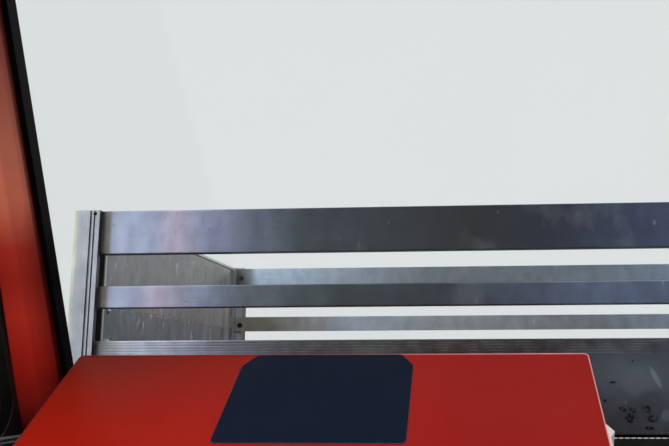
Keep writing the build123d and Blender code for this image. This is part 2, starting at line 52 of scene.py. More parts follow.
camera_data = bpy.data.cameras.new("camera")
camera = bpy.data.objects.new("camera", camera_data)
scene.collection.objects.link(camera)
scene.camera = camera
camera_data.sensor_width = sensor_width
camera_data.lens = focal_pixels / frame_width * sensor_width
camera_data.shift_x = (frame_width / 2 - optical_centre[0]) / frame_width
camera_data.shift_y = (optical_centre[1] - frame_height / 2) / frame_width
camera_data.clip_start = 0.01
turn = (Matrix.Rotation(radians(camera_yaw), 4, "Z")
        @ Matrix.Rotation(radians(90 + camera_pitch), 4, "X")
        @ Matrix.Rotation(radians(camera_roll), 4, "Z"))
camera.matrix_world = Matrix.Translation(camera_place) @ turn


# Materials

# A Mix node's sockets when it mixes colours: the two colours, and the result
mix_first = 6
mix_second = 7
mix_result = 2
bevel_samples = 6


def linear(colour):
    """A colour written as 0 to 255 in a picture, as Blender's linear colour."""
    return tuple(((c / 255 + 0.055) / 1.055) ** 2.4 for c in colour) + (1.0,)


class Look:
    """A procedural material, built from nodes that read the object's own coordinates."""

    def __init__(self, name, roughness=0.5, metallic=0.0, specular=0.2):
        self.material = bpy.data.materials.new(name)
        self.material.use_nodes = True
        self.tree = self.material.node_tree
        self.shader = self.tree.nodes["Principled BSDF"]
        self.shader.inputs["Roughness"].default_value = roughness
        self.shader.inputs["Metallic"].default_value = metallic
        self.shader.inputs["Specular IOR Level"].default_value = specular
        self.point = self.add("TexCoord").outputs["Object"]
        self.normal = self.add("NewGeometry").outputs["Normal"]
        self.x, self.y, self.z = self.add("SeparateXYZ", {0: self.point}).outputs
        self.up = self.add("SeparateXYZ", {0: self.normal}).outputs["Z"]

    def add(self, kind, inputs=None, **settings):
        """A node of this kind, with its settings and its inputs linked or set."""
        made = self.tree.nodes.new("ShaderNode" + kind)
        for key, value in settings.items():
            setattr(made, key, value)
        for key, value in (inputs or {}).items():
            if isinstance(value, bpy.types.NodeSocket):
                self.tree.links.new(value, made.inputs[key])
            else:
                made.inputs[key].default_value = value
        return made

    def math(self, operation, first, second=0.0):
        """The result of one sum, each side a node's output or a number."""
        return self.add("Math", {0: first, 1: second}, operation=operation).outputs[0]

    def noise(self, scale, stretch=(1, 1, 1), detail=3.0, offset=0.0):
        """Noise from 0 to 1 whose cells are 1 / scale metres, shrunk by stretch along each axis."""
        moved = (offset, offset, offset)
        place = self.add("Mapping", {"Vector": self.point, "Scale": stretch, "Location": moved})
        made = self.add("TexNoise", {"Vector": place.outputs[0], "Scale": scale, "Detail": detail})
        return made.outputs["Fac"]

    def span(self, value, low, high, first=0.0, last=1.0):
        """A value between low and high, spread from first to last and held beyond them."""
        inputs = {"Value": value, "From Min": low, "From Max": high, "To Min": first, "To Max": last}
        return self.add("MapRange", inputs).outputs["Result"]

    def patch(self, centre, half_width, half_height, degrees, soft):
        """A mask of an ellipse on a face that looks along the car, with a soft edge."""
        place = self.add("Mapping", {"Vector": self.point, "Location": centre,
                                     "Rotation": (0, radians(degrees), 0),
                                     "Scale": (half_width, 1, half_height)}, vector_type="TEXTURE")
        away = self.add("VectorMath", {0: place.outputs[0]}, operation="LENGTH").outputs["Value"]
        return self.span(away, 1.0, 1.0 - soft)

    def mix(self, factor, first, second):
        """A mix of two colours, each a node's output or a colour from 0 to 255."""
        colours = [c if isinstance(c, bpy.types.NodeSocket) else linear(c) for c in (first, second)]
        inputs = {0: factor, mix_first: colours[0], mix_second: colours[1]}
        return self.add("Mix", inputs, data_type="RGBA").outputs[mix_result]

    def plain(self, colour):
        """One even colour from 0 to 255."""
        return self.mix(0.0, colour, colour)

    def shade(self, colour, factor, low, high):
        """A colour made darker or lighter by a value from 0 to 1."""
        level = self.span(factor, 0.0, 1.0, low, high)
        return self.add("VectorMath", {0: colour, "Scale": level}, operation="SCALE").outputs[0]

    def ramp(self, value, stops):
        """A colour that changes along a value, by stops of position and colour."""
        low, high = stops[0][0], stops[-1][0]
        made = self.add("ValToRGB", {0: self.span(value, low, high)})
        points = made.color_ramp.elements
        while len(points) < len(stops):
            points.new(0.5)
        for point, (place, colour) in zip(points, stops):
            point.position = (place - low) / (high - low)
            point.color = linear(colour)
        return made.outputs["Color"]

    def worn_edge(self, radius, noise):
        """A mask of outer edges, broken up by noise."""
        on_flat = 0.995
        on_edge = 0.85
        rounded = self.add("Bevel", {"Radius": radius}, samples=bevel_samples).outputs[0]
        same = self.add("VectorMath", {0: rounded, 1: self.normal}, operation="DOT_PRODUCT")
        edges = self.span(same.outputs["Value"], on_flat, on_edge)
        return self.math("MULTIPLY", edges, self.span(noise, 0.42, 0.6))

    def surface(self, node):
        """Makes a shader node the whole surface."""
        output = self.tree.nodes["Material Output"]
        self.tree.links.new(node.outputs[0], output.inputs["Surface"])

    def finish(self, colour, roughness=None, height=None, depth=0.0003, edge=0.0012):
        """Links the colour, roughness and bump, and rounds the edges in the shading."""
        self.tree.links.new(colour, self.shader.inputs["Base Color"])
        if roughness is not None:
            self.tree.links.new(roughness, self.shader.inputs["Roughness"])
        normal = self.add("Bevel", {"Radius": edge}, samples=bevel_samples).outputs[0]
        if height is not None:
            bump = self.add("Bump", {"Height": height, "Distance": depth, "Normal": normal})
            normal = bump.outputs[0]
        self.tree.links.new(normal, self.shader.inputs["Normal"])
        return self.material


def paint(name, colour, roughness=0.42, dust=0.3, chips=0.35, lining=None):
    """Sprayed paint with orange peel, faint streaks, dust on what faces up and worn edges.
    With a lining, the faces inside the cab have that colour."""
    look = Look(name, roughness, specular=0.25)
    broad = look.noise(1.7, detail=5.0)
    base = look.plain(colour)
    if lining is not None:
        between = look.math("LESS_THAN", look.math("ABSOLUTE", look.x), lining_half_width)
        behind = look.math("LESS_THAN", look.y, bulkhead_y)
        inside = look.math("MULTIPLY", between, behind)
        base = look.mix(inside, colour, lining)
        chips = look.math("MULTIPLY", look.math("SUBTRACT", 1.0, inside), chips)
    base = look.shade(base, broad, 0.82, 1.16)
    base = look.shade(base, look.noise(38.0, detail=6.0), 0.93, 1.07)
    streaks = look.span(look.noise(3.0, (9, 9, 0.8), offset=3.1), 0.56, 0.8, 0.0, 0.3)
    base = look.mix(streaks, base, (96, 84, 76))
    dusty = look.math("MULTIPLY", look.span(look.up, 0.35, 1.0, 0.0, dust),
                      look.span(look.noise(9.0), 0.3, 0.7))
    base = look.mix(dusty, base, (164, 158, 148))
    chipped = look.math("MULTIPLY", look.worn_edge(0.004, look.noise(24.0)), chips)
    base = look.mix(chipped, base, (172, 160, 152))
    peel = look.noise(260.0, detail=2.0)
    gloss = look.span(look.noise(6.0, offset=1.3), 0.3, 0.7, roughness - 0.07, roughness + 0.1)
    return look.finish(base, gloss, peel, 0.00012)


def aluminium(name, stops, grain=(1, 60, 60), scuffs=0.35):
    """Drawn or rolled aluminium: its tone changes across the car, with grain, scuffs and dirt. On the
    boards, bars and posts the tones hold painted reflections, highlights and shade, and faces that
    look down get painted shade. Gives the look with its colour, gloss and grain, to be finished."""
    look = Look(name, 0.42, metallic=0.25, specular=0.1)
    base = look.ramp(look.x, stops)
    lines = look.noise(6.0, grain, detail=4.0)
    base = look.shade(base, lines, 0.86, 1.15)
    clouds = look.noise(2.6, (1, 1, 0.6), detail=5.0, offset=7.0)
    base = look.shade(base, clouds, 0.8, 1.2)
    mottle = look.noise(30.0, (1, 1, 0.6), detail=9.0, offset=4.0)
    base = look.shade(base, look.span(mottle, 0.3, 0.7), 0.84, 1.18)
    scuffed = look.noise(9.0, (1, 1, 0.8), detail=10.0, offset=2.0)
    base = look.mix(look.span(scuffed, 0.56, 0.66, 0.0, 0.4 * scuffs), base, (150, 152, 156))
    nicks = look.span(look.noise(75.0, (1, 1, 0.35), detail=5.0, offset=9.0), 0.69, 0.76, 0.0, 0.22)
    base = look.mix(nicks, base, (188, 190, 192))
    specks = look.span(look.noise(110.0, detail=3.0, offset=5.0), 0.68, 0.75, 0.0, 0.5)
    base = look.mix(specks, base, (34, 32, 30))
    # Painted shade: faces that look down are darkened almost to black
    underside_shade = look.span(look.up, -0.25, -0.8, 0.0, 0.9)
    base = look.mix(underside_shade, base, (24, 23, 22))
    bright_edge = look.math("MULTIPLY", look.worn_edge(0.003, look.noise(30.0)), 0.6)
    base = look.mix(bright_edge, base, (190, 192, 194))
    gloss = look.span(lines, 0.25, 0.75, 0.34, 0.56)
    return look, base, gloss, lines


def rolled(*args, **settings):
    """The finished material of an aluminium look."""
    look, base, gloss, lines = aluminium(*args, **settings)
    return look.finish(base, gloss, lines, 0.00015)


def rubber(name, colour):
    """Black rubber with a fine grain and dry dust."""
    look = Look(name, 0.62, specular=0.01)
    base = look.plain(colour)
    base = look.shade(base, look.noise(24.0, detail=6.0), 0.6, 1.5)
    dusty = look.math("MULTIPLY", look.span(look.up, 0.2, 1.0, 0.002, 0.18), look.noise(12.0))
    base = look.mix(dusty, base, (120, 116, 108))
    return look.finish(base, None, look.noise(600.0, detail=2.0), 0.00015)


def plastic(name, colour, roughness=0.45, specular=0.3, flecks=0.25):
    """Moulded plastic or matt blackened steel, with a fine leather-like grain."""
    look = Look(name, roughness, specular=specular)
    base = look.plain(colour)
    base = look.shade(base, look.noise(5.0, detail=6.0), 0.92, 1.08)
    pale = look.span(look.noise(420.0, detail=2.0), 0.66, 0.76, 0.0, flecks)
    base = look.mix(pale, base, (150, 148, 144))
    gloss = look.span(look.noise(9.0, detail=5.0), 0.3, 0.7, roughness - 0.08, roughness + 0.1)
    return look.finish(base, gloss, look.noise(900.0, detail=1.0), 0.00008)


def steel(name, colour, roughness=0.35):
    """Plated steel for bolts, handles and hinges, with a little rust."""
    look = Look(name, roughness, 0.8)
    base = look.plain(colour)
    base = look.shade(base, look.noise(90.0, detail=4.0), 0.75, 1.2)
    rust = look.span(look.noise(60.0, detail=6.0, offset=4.0), 0.66, 0.78, 0.0, 0.45)
    base = look.mix(rust, base, (98, 62, 40))
    return look.finish(base, None, look.noise(400.0), 0.0001, 0.0006)


def glass_look():
    """Flat glass: clear, with a mirror gloss and a thin uneven film of dirt."""
    dirt = 0.014
    look = Look("window_glass", 0.5)
    film = look.span(look.noise(3.0, detail=7.0), 0.35, 0.8, 0.25, 1.0)
    specks = look.span(look.noise(170.0, detail=2.0, offset=2.0), 0.7, 0.78)
    cover = look.math("MULTIPLY", look.math("ADD", film, specks), dirt)
    clear = look.add("BsdfTransparent", {"Color": (0.95, 0.965, 0.958, 1)})
    gloss = look.add("BsdfGlossy", {"Color": (1, 1, 1, 1), "Roughness": 0.02})
    fresnel = look.add("Fresnel", {"IOR": 1.25})
    pane = look.add("MixShader", {0: fresnel.outputs[0], 1: clear.outputs[0], 2: gloss.outputs[0]})
    dust = look.mix(film, (176, 178, 176), (196, 196, 190))
    look.tree.links.new(dust, look.shader.inputs["Base Color"])
    whole = look.add("MixShader", {0: cover, 1: pane.outputs[0], 2: look.shader.outputs[0]})
    look.surface(whole)
    return look.material


outer_skin = 0.002
lining_half_width = 1.199
bulkhead_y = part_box("front_bulkhead")[1].y - outer_skin
red = (150, 31, 22)
dark_lining = (24, 27, 26)
# Painted glare and reflections on the boards
board_glare = (148, 158, 184)
board_pink_glare = (182, 173, 197)
board_middle = (92, 98, 108)
board_blue_reflection = (84, 94, 122)
# Painted shadow at the boards' ends beside the corner posts: dark, then a lighter fringe
groove_shadow = (30, 30, 28)
groove_shadow_fringe = (108, 106, 102)

board_reflection_tones = (
    # place across the car, colour: painted shadow at the end beside the post, then painted glare and
    # reflections across the board
    (-1.16, groove_shadow),
    (-1.121, groove_shadow_fringe),
    (-1.114, board_glare),
    (-1.02, board_glare),
    (-0.965, board_pink_glare),
    (-0.90, (153, 161, 190)),
    (-0.80, (108, 115, 137)),
    (-0.68, (61, 67, 77)),
    (-0.30, (26, 27, 33)),
    (-0.12, (28, 32, 52)),
    (0.10, (53, 62, 91)),
    (1.15, board_middle),
)
# Painted shadow at the end beside the post, then painted glare and reflections across the board
mid_board_reflection_tones = (
    (-1.16, groove_shadow),
    (-1.121, groove_shadow_fringe),
    (-1.114, board_glare),
    (-1.06, board_glare),
    (-1.01, board_pink_glare),
    (-0.90, (150, 164, 192)),
    (-0.80, (100, 113, 121)),
    (-0.60, (68, 82, 88)),
    (-0.38, (60, 72, 80)),
    (-0.16, (81, 92, 112)),
    (0.0, board_blue_reflection),
    (1.15, board_middle),
)
# Painted shadow at the end beside the post, then painted glare and reflections across the board
low_board_reflection_tones = (
    (-1.16, groove_shadow),
    (-1.123, (126, 128, 130)),
    (-1.05, (186, 193, 210)),
    (-0.95, (188, 195, 222)),
    (-0.85, (132, 135, 149)),
    (-0.70, (99, 97, 103)),
    (-0.35, (79, 73, 73)),
    (-0.18, (69, 65, 68)),
    (0.05, (75, 75, 85)),
    (1.15, board_middle),
)
# Painted shade at the left ends of the upper far bar, then painted highlights and reflections across
# it
bar_shade_and_reflection_tones = (
    (-1.135, (58, 58, 55)),
    (-1.112, (76, 78, 78)),
    (-1.085, (104, 112, 120)),
    (-1.06, (160, 178, 200)),
    (-0.8, (140, 152, 168)),
    (-0.45, (102, 110, 118)),
    (-0.1, (100, 106, 116)),
    (0.4, (116, 130, 148)),
    (1.15, (120, 128, 136)),
)
# Painted reflections across the lower far bar
low_bar_reflection_tones = (
    (-1.135, (136, 139, 126)),
    (-1.0, (134, 131, 121)),
    (-0.85, (147, 147, 150)),
    (-0.72, (163, 172, 187)),
    (-0.5, (157, 161, 170)),
    (0.1, (125, 129, 137)),
    (0.39, (132, 142, 160)),
    (1.15, (120, 128, 136)),
)
# Painted highlight along the outer edges of the posts, pale and yellowish, over their even grey
post_edge_highlight_tones = (
    (-1.2, (186, 190, 166)),
    (-1.197, (156, 162, 170)),
    (-1.15, (152, 157, 168)),
    (1.15, (152, 157, 168)),
    (1.197, (156, 162, 170)),
    (1.2, (186, 190, 166)),
)
plain_tones = (
    (-1.2, (132, 136, 140)),
    (0.0, (128, 132, 137)),
    (1.2, (134, 138, 142)),
)
# Painted highlight along the laminate's edge: dark red at the left, pale towards the right
desk_edge_highlight_tones = (
    (-1.03, (122, 28, 20)),
    (-0.62, (150, 34, 26)),
    (-0.4, (214, 112, 108)),
    (-0.09, (226, 158, 156)),
)
gate_tones = (
    # height, colour: the sheet, the dark seam, then the lighter part over it
    (0.55, (94, 98, 103)),
    (1.4225, (92, 97, 102)),
    (1.4235, (46, 47, 48)),
    (1.4250, (46, 47, 48)),
    (1.4265, (112, 109, 111)),
    (1.64, (112, 109, 110)),
)
pillar_shade_and_reflection_tones = (
    # height, colour: painted shade at the foot, then red, then a pale painted reflection higher up
    (1.165, (44, 14, 10)),
    (1.230, (158, 34, 26)),
    (1.300, (187, 36, 24)),
    (1.370, (200, 52, 38)),
    (1.440, (174, 42, 31)),
    (1.489, (188, 52, 39)),
    (1.571, (230, 126, 98)),
    (1.649, (219, 125, 99)),
    (1.755, (189, 103, 86)),
    (1.900, (166, 70, 56)),
)
low_board_marks = (
    # place across, height, half width, half height, turn in degrees, cover, soft edge, colour
    (0.03, 1.262, 0.15, 0.07, 0, 0.6, 0.8, (106, 115, 131)),
    (0.048, 1.252, 0.040, 0.036, 0, 0.75, 0.35, (106, 109, 117)),
    (0.071, 1.204, 0.037, 0.035, 0, 0.6, 0.3, (70, 76, 88)),
    (0.085, 1.261, 0.007, 0.029, -26, 0.85, 0.45, (132, 140, 146)),
    (0.102, 1.184, 0.012, 0.014, 20, 0.75, 0.3, (112, 124, 142)),
    (0.038, 1.2965, 0.0022, 0.003, 0, 1.0, 0.3, (14, 14, 15)),
    (-0.0055, 1.252, 0.0105, 0.0035, 0, 0.95, 0.6, (14, 14, 15)),
    (-0.0235, 1.2143, 0.0045, 0.0035, 30, 0.95, 0.4, (14, 14, 15)),
)
low_board_spots = (
    # place across, height, half width, half height, turn in degrees
    (0.027, 1.178, 0.012, 0.013, 0),
    (0.012, 1.197, 0.012, 0.006, 20),
    (0.033, 1.194, 0.010, 0.005, 30),
    (0.062, 1.195, 0.012, 0.012, 40),
    (0.074, 1.177, 0.013, 0.010, 0),
    (0.065, 1.157, 0.016, 0.005, 0),
)


def low_board_look():
    """The near low board: as the others, with black spots and pale scuffs beside the desk."""
    look, base, gloss, lines = aluminium("low_board_metal", low_board_reflection_tones)
    face_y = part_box("board_low")[0].y
    for x, z, width, height, degrees, cover, soft, colour in low_board_marks:
        mark = look.patch((x, face_y, z), width, height, degrees, soft)
        base = look.mix(look.math("MULTIPLY", mark, cover), base, colour)
    clots = look.span(look.noise(190.0, detail=5.0, offset=0.7), 0.43, 0.49)
    for x, z, width, height, degrees in low_board_spots:
        spots = look.math("MULTIPLY", look.patch((x, face_y, z), width, height, degrees, 0.35), clots)
        base = look.mix(look.math("MULTIPLY", spots, 0.95), base, (12, 12, 13))
    return look.finish(base, gloss, lines, 0.00015)


def pillar_look():
    """Red paint of the windscreen pillars. On the cab's side it has a pale painted reflection high up,
    painted shade at the foot, beyond the crease and along the seal, and ends in a black line at the
    window."""
    seal_edge = 1.061
    reflection_from = 1.49
    reflection_to = 1.57
    wide_shadow = 0.029
    narrow_shadow = 0.012
    line_foot = 1.2365
    line_top = 1.83
    line_lean = 0.02
    line_start = 1.1425
    line_full = 1.145
    look = Look("pillar_red", 0.4, specular=0.08)
    sideways, lengthways, _ = look.add("SeparateXYZ", {0: look.normal}).outputs
    cab_side = look.span(lengthways, -0.05, -0.3)
    # By height: painted shade at the foot and a pale painted reflection high up
    base = look.ramp(look.z, pillar_shade_and_reflection_tones)
    base = look.shade(base, look.noise(2.5, detail=6.0), 0.9, 1.1)
    inwards = look.math("SIGN", look.math("MULTIPLY", look.x, -1.0))
    towards_glass = look.math("MULTIPLY", sideways, inwards)
    # Painted shade on the facet beyond the crease, which turns towards the glass
    base = look.shade(base, look.span(towards_glass, 0.02, 0.24), 1.0, 0.71)
    out = look.math("ABSOLUTE", look.x)
    # Painted shade along the seal, narrower and lighter where the painted reflection begins
    shadow_width = look.span(look.z, reflection_from, reflection_to, wide_shadow, narrow_shadow)
    from_seal = look.math("DIVIDE", look.math("SUBTRACT", out, seal_edge), shadow_width)
    at_least = look.span(look.z, reflection_from, reflection_to, 0.0, 0.65)
    clear_of_seal = look.math("MAXIMUM", look.span(from_seal, 0.0, 1.0), at_least)
    base = look.shade(base, clear_of_seal, 0.45, 1.0)
    leaned_out = look.math("ADD", out, look.span(look.z, line_foot, line_top, 0.0, line_lean))
    base = look.mix(look.span(leaned_out, line_start, line_full), base, (15, 16, 15))
    base = look.mix(cab_side, red, base)
    # Painted shade on the faces that turn to the glass
    base = look.shade(base, look.span(towards_glass, 0.3, 0.7), 1.0, 0.25)
    base = look.shade(base, look.noise(30.0, detail=7.0), 0.92, 1.08)
    scratches = look.span(look.noise(24.0, (1, 6, 6), detail=8.0, offset=2.0), 0.7, 0.78, 0.0, 0.2)
    base = look.mix(scratches, base, (196, 120, 104))
    gloss = look.span(look.noise(6.0, offset=1.3), 0.3, 0.7, 0.34, 0.5)
    return look.finish(base, gloss, look.noise(260.0, detail=2.0), 0.0001)


def post_look():
    """Anodised corner posts, with a painted highlight on their outer edges, and painted shade in the
    slots and on the side that faces the boards.
    """
    slot_inset = 0.0135
    slot_width = 0.0263
    slot_depth = 0.0152
    look, base, gloss, lines = aluminium("post_metal", post_edge_highlight_tones, (60, 60, 1), scuffs=0.2)
    sideways = look.add("SeparateXYZ", {0: look.normal}).outputs["X"]
    inwards = look.span(look.math("MULTIPLY", sideways, look.x), -0.3, -0.9)
    post_low, post_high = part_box("corner_post_left")
    slot_front = post_low.y + slot_inset
    slot_back = slot_front + slot_width
    slot_floor = slot_depth - post_high.x
    along_slot = look.math("MULTIPLY", look.math("GREATER_THAN", look.y, slot_front),
                           look.math("LESS_THAN", look.y, slot_back))
    in_slot = look.math("MULTIPLY", along_slot,
                        look.math("LESS_THAN", look.math("ABSOLUTE", look.x), slot_floor))
    # Painted shade: near-black in the slots and on the faces that turn to the boards
    dark = look.math("MULTIPLY", look.math("MAXIMUM", inwards, in_slot), 0.95)
    base = look.mix(dark, base, (19, 20, 14))
    return look.finish(base, gloss, lines, 0.00015)


def edge_highlight_look():
    """The laminate's edge: dark red at the left, with a pale painted highlight towards the right."""
    look = Look("desk_edge", 0.3)
    base = look.ramp(look.x, desk_edge_highlight_tones)
    base = look.shade(base, look.noise(60.0), 0.9, 1.1)
    return look.finish(base, None, look.noise(500.0), 0.0001)


def gate_look():
    """Scratched grey sheet: long thin scratches over a cloudy matt grey, lighter above the seam, with
    painted highlights on the rims at its near end, top and far end."""
    near_end = 0.117
    near_inner = 0.124
    top = 1.631
    top_inner = 1.624
    far_inner = 1.115
    far_end = 1.15
    look = Look("gate_sheet", 0.55, 0.35)
    base = look.ramp(look.z, gate_tones)
    base = look.shade(base, look.noise(5.0, (1, 2, 0.6), detail=7.0), 0.78, 1.2)
    mottle = look.noise(42.0, (1, 1, 0.7), detail=9.0, offset=5.0)
    base = look.shade(base, look.span(mottle, 0.3, 0.7), 0.82, 1.2)
    # Painted highlights along the rims at the near end, the top and the far end
    near_rim_highlight = look.span(look.y, near_inner, near_end, 0.0, 0.8)
    top_rim_highlight = look.span(look.z, top_inner, top, 0.0, 0.6)
    far_rim_highlight = look.math("MULTIPLY", look.span(look.y, far_inner - 0.035, far_inner, 0.0, 0.45),
                        look.span(look.y, far_end, far_end - 0.005))
    rims = look.math("MAXIMUM", look.math("MAXIMUM", near_rim_highlight, top_rim_highlight), far_rim_highlight)
    base = look.mix(rims, base, (190, 187, 178))
    streaks = look.span(look.noise(7.0, (1, 3, 0.8), detail=9.0, offset=1.0), 0.45, 0.75, 0.0, 0.3)
    base = look.mix(streaks, base, (150, 150, 146))
    flecks = look.span(look.noise(70.0, (1, 1, 0.6), detail=8.0, offset=3.0), 0.6, 0.68, 0.0, 0.5)
    flecks = look.math("MULTIPLY", flecks, look.span(look.noise(6.0, offset=6.0), 0.4, 0.6))
    base = look.mix(flecks, base, (190, 190, 186))
    grime = look.span(look.noise(16.0, (1, 1, 0.5), detail=6.0, offset=8.0), 0.6, 0.75, 0.0, 0.4)
    base = look.mix(grime, base, (62, 60, 56))
    base = look.mix(look.worn_edge(0.004, look.noise(40.0)), base, (176, 176, 170))
    return look.finish(base, None, look.noise(14.0, (1, 6, 1), detail=8.0), 0.0004)


def desk_look():
    """Red laminate, browner towards its far left corner, with a fine pebble and soft wear."""
    look = Look("desk_laminate", 0.4, specular=0.06)
    base = look.mix(look.span(look.x, -0.78, -0.3), (164, 23, 9), (147, 25, 20))
    corner = look.math("MULTIPLY", look.span(look.x, -0.45, -0.95), look.span(look.z, 1.13, 1.3))
    base = look.mix(look.math("MULTIPLY", corner, 0.75), base, (104, 28, 12))
    base = look.shade(base, look.noise(3.0, detail=6.0), 0.88, 1.12)
    base = look.shade(base, look.noise(60.0, detail=5.0), 0.96, 1.05)
    scratches = look.span(look.noise(20.0, (1, 14, 14), detail=8.0, offset=2.0), 0.68, 0.76, 0.0, 0.25)
    base = look.mix(scratches, base, (186, 96, 84))
    gloss = look.span(look.noise(7.0, detail=6.0), 0.3, 0.7, 0.34, 0.48)
    return look.finish(base, gloss, look.noise(700.0, detail=2.0), 0.00008)


def floor_look():
    """Rubber floor covering with round studs."""
    look = Look("cab_floor_rubber", 0.7)
    cells = look.add("TexVoronoi", {"Vector": look.point, "Scale": 34.0, "Randomness": 0.0})
    studs = look.span(cells.outputs["Distance"], 0.36, 0.28)
    base = look.mix(studs, (50, 51, 52), (62, 63, 64))
    base = look.shade(base, look.noise(3.0, detail=6.0), 0.75, 1.25)
    dust = look.span(look.noise(8.0, detail=6.0, offset=2.0), 0.55, 0.8, 0.0, 0.3)
    base = look.mix(dust, base, (128, 122, 112))
    return look.finish(base, None, studs, 0.0012)


def lens_look():
    """Lamp glass with vertical flutes."""
    radians_per_metre = 700.0
    look = Look("lamp_glass", 0.12)
    wave = look.math("SINE", look.math("MULTIPLY", look.x, radians_per_metre))
    height = look.math("ABSOLUTE", wave)
    base = look.mix(height, (196, 200, 204), (228, 231, 233))
    look.shader.inputs["Transmission Weight"].default_value = 0.75
    return look.finish(base, None, height, 0.0015, 0.0006)


def bead_look():
    """A pale cord with painted shade in the gaps between its turns."""
    radians_per_metre = 560.0
    look = Look("bead_cord", 0.5)
    turns = look.math("SINE", look.math("MULTIPLY", look.x, radians_per_metre))
    # Painted shade: dark bands between the cord's turns
    base = look.mix(look.span(turns, -0.9, -0.5), (60, 60, 56), (236, 233, 224))
    return look.finish(base, None, turns, 0.0004, 0.0004)


looks = {
    "body": paint("body_red", red, lining=dark_lining),
    "red": paint("frame_red", red, chips=0.15, dust=0.15),
    "pillar": pillar_look(),
    "skirt": paint("skirt_red", red, 0.46, dust=0.5),
    "roof": paint("roof_grey", (158, 160, 162), 0.5, dust=0.6),
    "underframe": paint("underframe_black", (54, 54, 56), 0.5, dust=0.6),
    "cabinet": paint("cabinet_grey", (118, 121, 124), 0.5),
    "board": rolled("board_metal", board_reflection_tones),
    "mid_board": rolled("mid_board_metal", mid_board_reflection_tones),
    "low_board": low_board_look(),
    "far_board": rolled("far_board_metal", plain_tones),
    "bar": rolled("bar_metal", bar_shade_and_reflection_tones),
    "low_bar": rolled("low_bar_metal", low_bar_reflection_tones),
    "post": post_look(),
    "deck": rolled("deck_metal", plain_tones, grain=(40, 1, 40), scuffs=0.5),
    "gate": gate_look(),
    "seal": rubber("seal_rubber", (5, 4, 4)),
    "side_seal": rubber("side_seal_rubber", (25, 28, 27)),
    "desk": desk_look(),
    "sign": plastic("sign_navy", (13, 22, 40), specular=0.04, flecks=0.05),
    "cream": plastic("grip_cream", (216, 206, 196)),
    "floor": floor_look(),
    "glass": glass_look(),
    "lens": lens_look(),
    "zinc": steel("zinc_steel", (168, 170, 172)),
    "black_bolt": plastic("black_steel", (16, 16, 16), 0.6, specular=0.08, flecks=0.05),
    "bead": bead_look(),
    "ledge": rolled("ledge_metal", plain_tones, scuffs=0.2),
    "edge_highlight": edge_highlight_look(),
    "sign_edge_highlight": plastic("edge_blue", (58, 62, 78), 0.35),
    "reflector": steel("reflector_silver", (214, 216, 218), 0.12),
}

# The beginning of a node's name gives its material; the first row that fits counts
node_looks = (
    ("desk_top", "desk"),
    ("desk_sign", "sign"),
    ("desk_grip", "cream"),
    ("desk_door_handle", "zinc"),
    ("desk_", "cabinet"),
    ("windscreen_glass", "glass"),
    ("windscreen_seal", "seal"),
    ("windscreen", "red"),
    ("side_window_seal", "side_seal"),
    ("side_window", "glass"),
    ("pillar", "pillar"),
    ("side_wall", "body"),
    ("front_bulkhead", "body"),
    ("roof", "roof"),
    ("rear_frame", "underframe"),
    ("cab_floor", "floor"),
    ("board_low", "low_board"),
    ("board_mid", "mid_board"),
    ("board_", "board"),
    ("far_board", "far_board"),
    ("far_bar_upper", "bar"),
    ("far_bar_lower", "low_bar"),
    ("corner_post", "post"),
    ("far_post", "post"),
    ("platform_deck", "deck"),
    ("side_gate", "gate"),
    ("gate_", "zinc"),
    ("side_skirt", "skirt"),
    ("front_skirt", "skirt"),
    ("rear_skirt", "skirt"),
    ("lamp_lens", "lens"),
    ("lamp_", "zinc"),
    ("", "underframe"),
)
for name, obj in nodes.items():
    look_name = next(look for start, look in node_looks if name.startswith(start))
    obj.data.materials.clear()
    obj.data.materials.append(looks[look_name])


# Pieces

sharp_angle = radians(35)


def piece(name, mesh_data, look, body):
    """A new object from a bmesh, smooth where its faces meet at a blunt angle."""
    mesh = bpy.data.meshes.new(name)
    bmesh.ops.recalc_face_normals(mesh_data, faces=mesh_data.faces)
    mesh_data.to_mesh(mesh)
    mesh_data.free()
    mesh.materials.append(looks[look])
    mesh.shade_smooth()
    mesh.set_sharp_from_angle(angle=sharp_angle)
    obj = bpy.data.objects.new(name, mesh)
    scene.collection.objects.link(obj)
    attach(obj, body)


def towards(axis, place):
    """The matrix that takes +Z to an axis and zero to a place."""
    return Matrix.Translation(place) @ Vector(axis).to_track_quat("Z", "Y").to_matrix().to_4x4()


def revolve(mesh_data, profile, matrix, segments=24):
    """Adds a body of revolution. The profile is radius and height, from axis to axis or a loop."""
    rings = []
    angles = [2 * pi * step / segments for step in range(segments)]
    for radius, height in profile:
        if radius == 0:
            rings.append([mesh_data.verts.new(matrix @ Vector((0, 0, height)))])
            continue
        places = [Vector((radius * cos(a), radius * sin(a), height)) for a in angles]
        rings.append([mesh_data.verts.new(matrix @ place) for place in places])
    for low, high in zip(rings, rings[1:]):
        for step in range(segments):
            after = (step + 1) % segments
            corners = [low[step % len(low)], low[after % len(low)], high[after % len(high)],
                       high[step % len(high)]]
            unique = list(dict.fromkeys(corners))
            mesh_data.faces.new(unique)


def socket_head(mesh_data, place, axis, radius, height):
    """A domed bolt head on a washer, with a hexagonal socket in it."""
    matrix = towards(axis, place)
    washer = 1.45 * radius
    rim = 0.2 * height
    revolve(mesh_data, ((0, 0), (washer, 0), (washer, rim), (0, rim)), matrix)
    crown = 0.55 * radius
    dome = ((0, rim), (radius, rim), (radius, 0.7 * height), (0.8 * radius, 0.95 * height),
            (crown, height))
    revolve(mesh_data, dome, matrix)
    socket = 0.5 * radius
    depth = 0.5 * height
    hexagon = ((crown, height), (socket, height), (socket, depth), (0, depth))
    revolve(mesh_data, hexagon, matrix, 6)


def fasteners(name, places, axis, radius, body, look="zinc"):
    """One piece that holds the same bolt head at each of its places."""
    made = bmesh.new()
    for place in places:
        socket_head(made, Vector(place), axis, radius, 0.8 * radius)
    piece(name, made, look, body)


